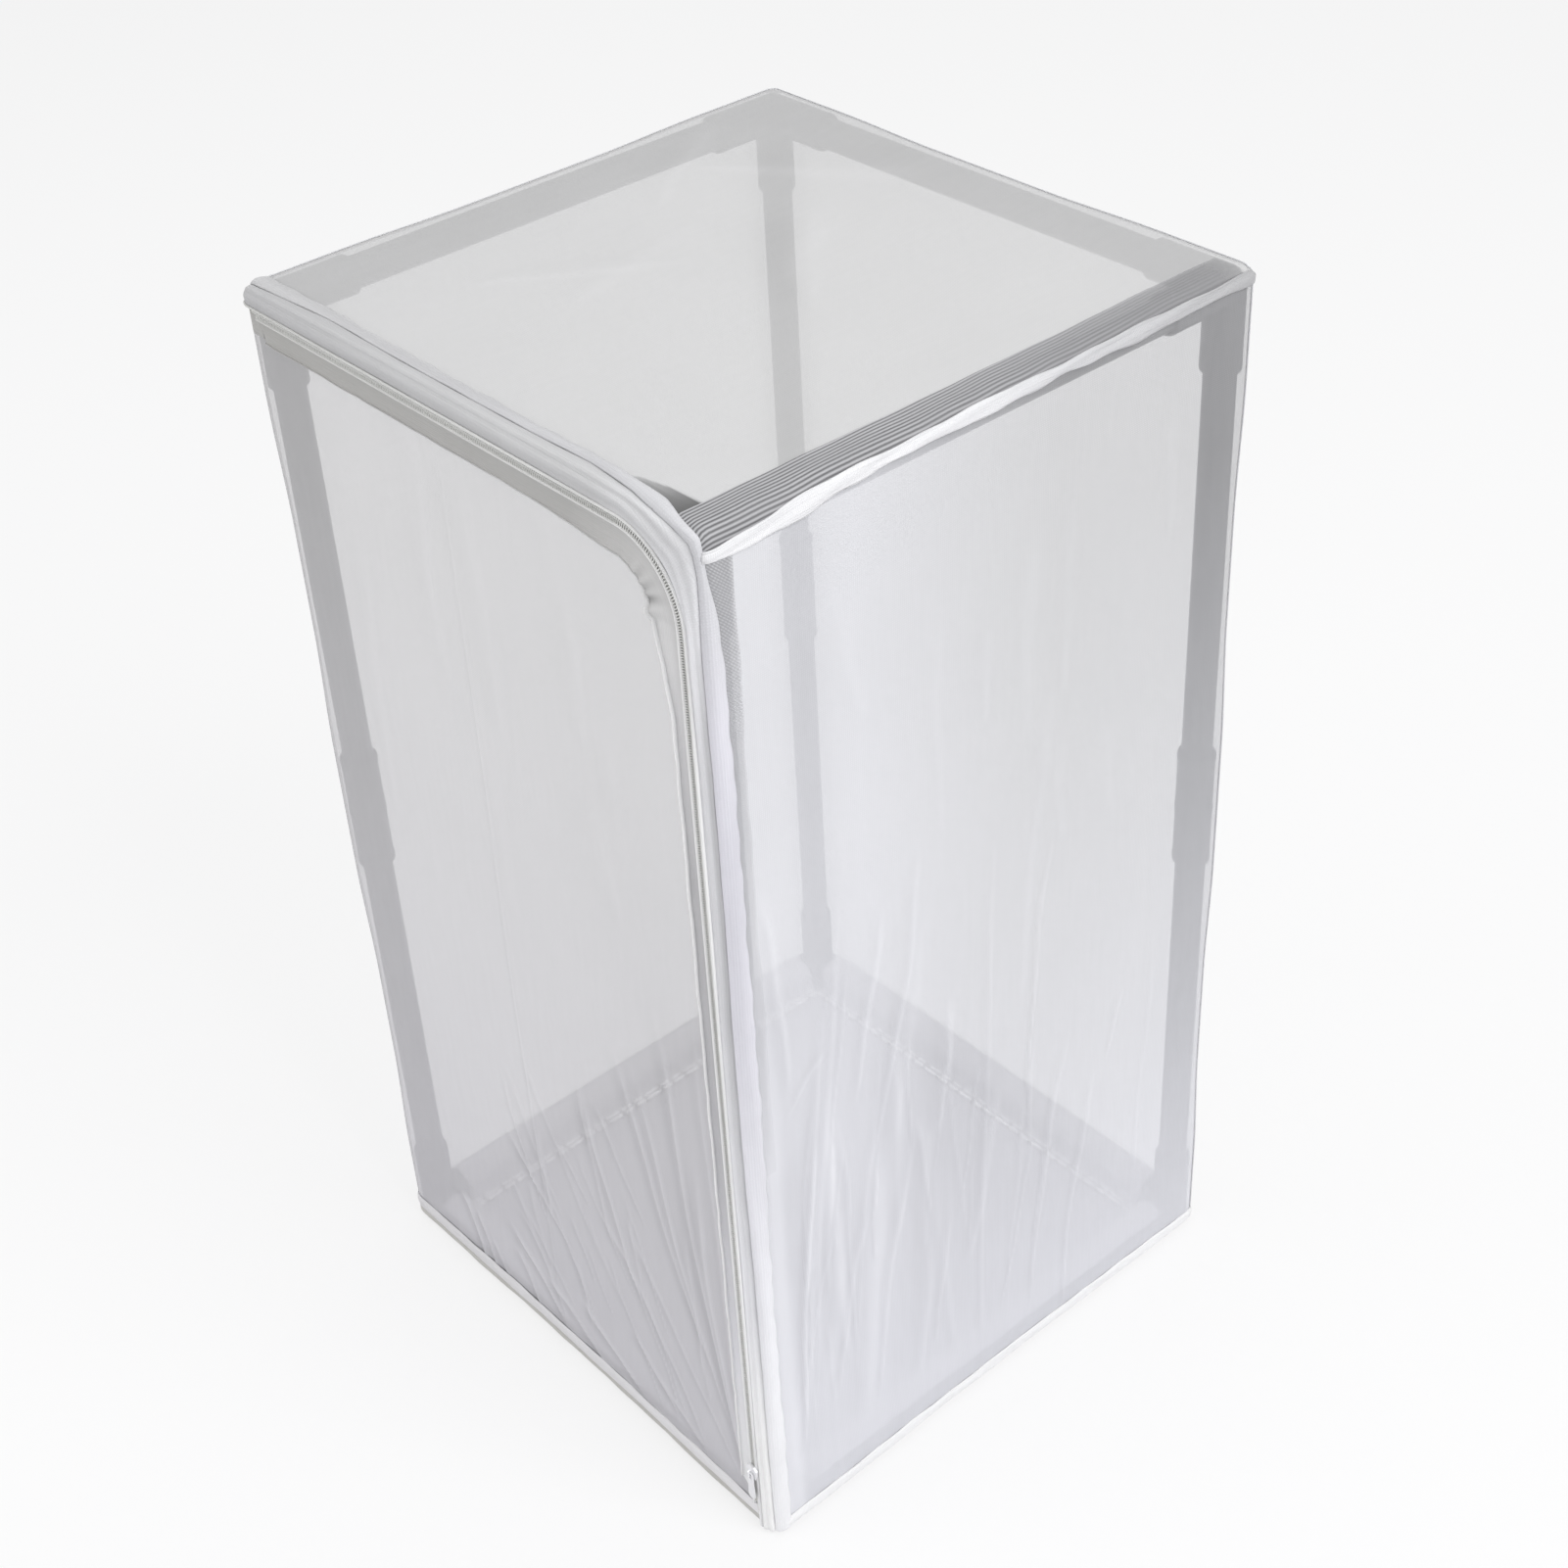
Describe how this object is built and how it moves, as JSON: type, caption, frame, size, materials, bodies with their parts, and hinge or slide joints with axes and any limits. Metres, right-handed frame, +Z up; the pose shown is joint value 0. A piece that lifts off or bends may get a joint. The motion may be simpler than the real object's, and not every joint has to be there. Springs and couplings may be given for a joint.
{
  "type": "insect cage",
  "caption": "Tall box-shaped insect cage: a sheer net cover sewn over a frame of plastic tubes, with a zipped corner flap as its door.",
  "frame": {"origin": "on the floor, under the middle of the cage", "axes": "+Z up, -Y out of the zipped front face, +X to the right seen from the front"},
  "size_m": [0.3318, 0.3377, 0.6118],
  "materials": {
    "frame_plastic": "satin dark grey plastic tube",
    "sheer_net": "sheer fine net, nearly see-through",
    "floor_cloth": "fine woven cloth",
    "white_tape": "white woven tape with a slight sheen",
    "zip_coil": "white nylon coil",
    "zip_metal": "pale plated metal"
  },
  "bodies": {
    "cage": {"binding_back_left": "white_tape", "binding_back_right": "white_tape", "binding_bottom_back": "white_tape", "binding_bottom_front": "white_tape", "binding_bottom_left": "white_tape", "binding_bottom_right": "white_tape", "binding_front_left": "white_tape", "binding_top_back": "white_tape", "binding_top_left": "white_tape", "binding_top_right": "white_tape", "coupler_back_left": "frame_plastic", "coupler_back_right": "frame_plastic", "coupler_front_left": "frame_plastic", "coupler_front_right": "frame_plastic", "cover_back": "sheer_net", "cover_bottom": "floor_cloth", "cover_left": "sheer_net", "cover_right": "sheer_net", "cover_top": "sheer_net", "door_lower": "sheer_net", "elbow_bottom_back_left": "frame_plastic", "elbow_bottom_back_right": "frame_plastic", "elbow_bottom_front_left": "frame_plastic", "elbow_bottom_front_right": "frame_plastic", "elbow_top_back_left": "frame_plastic", "elbow_top_back_right": "frame_plastic", "elbow_top_front_left": "frame_plastic", "elbow_top_front_right": "frame_plastic", "post_lower_back_left": "frame_plastic", "post_lower_back_right": "frame_plastic", "post_lower_front_left": "frame_plastic", "post_lower_front_right": "frame_plastic", "post_upper_back_left": "frame_plastic", "post_upper_back_right": "frame_plastic", "post_upper_front_left": "frame_plastic", "post_upper_front_right": "frame_plastic", "rail_bottom_back": "frame_plastic", "rail_bottom_front": "frame_plastic", "rail_bottom_left": "frame_plastic", "rail_bottom_right": "frame_plastic", "rail_top_back": "frame_plastic", "rail_top_front": "frame_plastic", "rail_top_left": "frame_plastic", "rail_top_right": "frame_plastic", "sleeve_back": "floor_cloth", "sleeve_front": "floor_cloth", "sleeve_left": "floor_cloth", "sleeve_right": "floor_cloth", "zip_row_frame": "zip_coil", "zip_tape_corner": "white_tape", "zip_tape_side": "white_tape", "zip_tape_top": "white_tape"},
    "flap": {"door_flap": "sheer_net", "zip_row_flap": "zip_coil", "zip_tape_flap": "white_tape"},
    "slider": {"zip_slider": "zip_metal"},
    "pull": {"zip_pull": "zip_metal"}
  },
  "joints": [
    {"name": "flap_fold", "type": "hinge", "parent": "cage", "child": "flap", "pos_m": [-0.0011, -0.1659, 0.3053], "axis": [0.464, 0, -0.8859], "range_deg": [0, 130]},
    {"name": "slider_run", "type": "slide", "parent": "flap", "child": "slider", "axis": [0, 0, 1], "range_m": [0, 0.5]},
    {"name": "pull_swing", "type": "hinge", "parent": "slider", "child": "pull", "pos_m": [0.1534, -0.1702, 0.0453], "axis": [-1, 0, 0], "range_deg": [0, 140]}
  ]
}
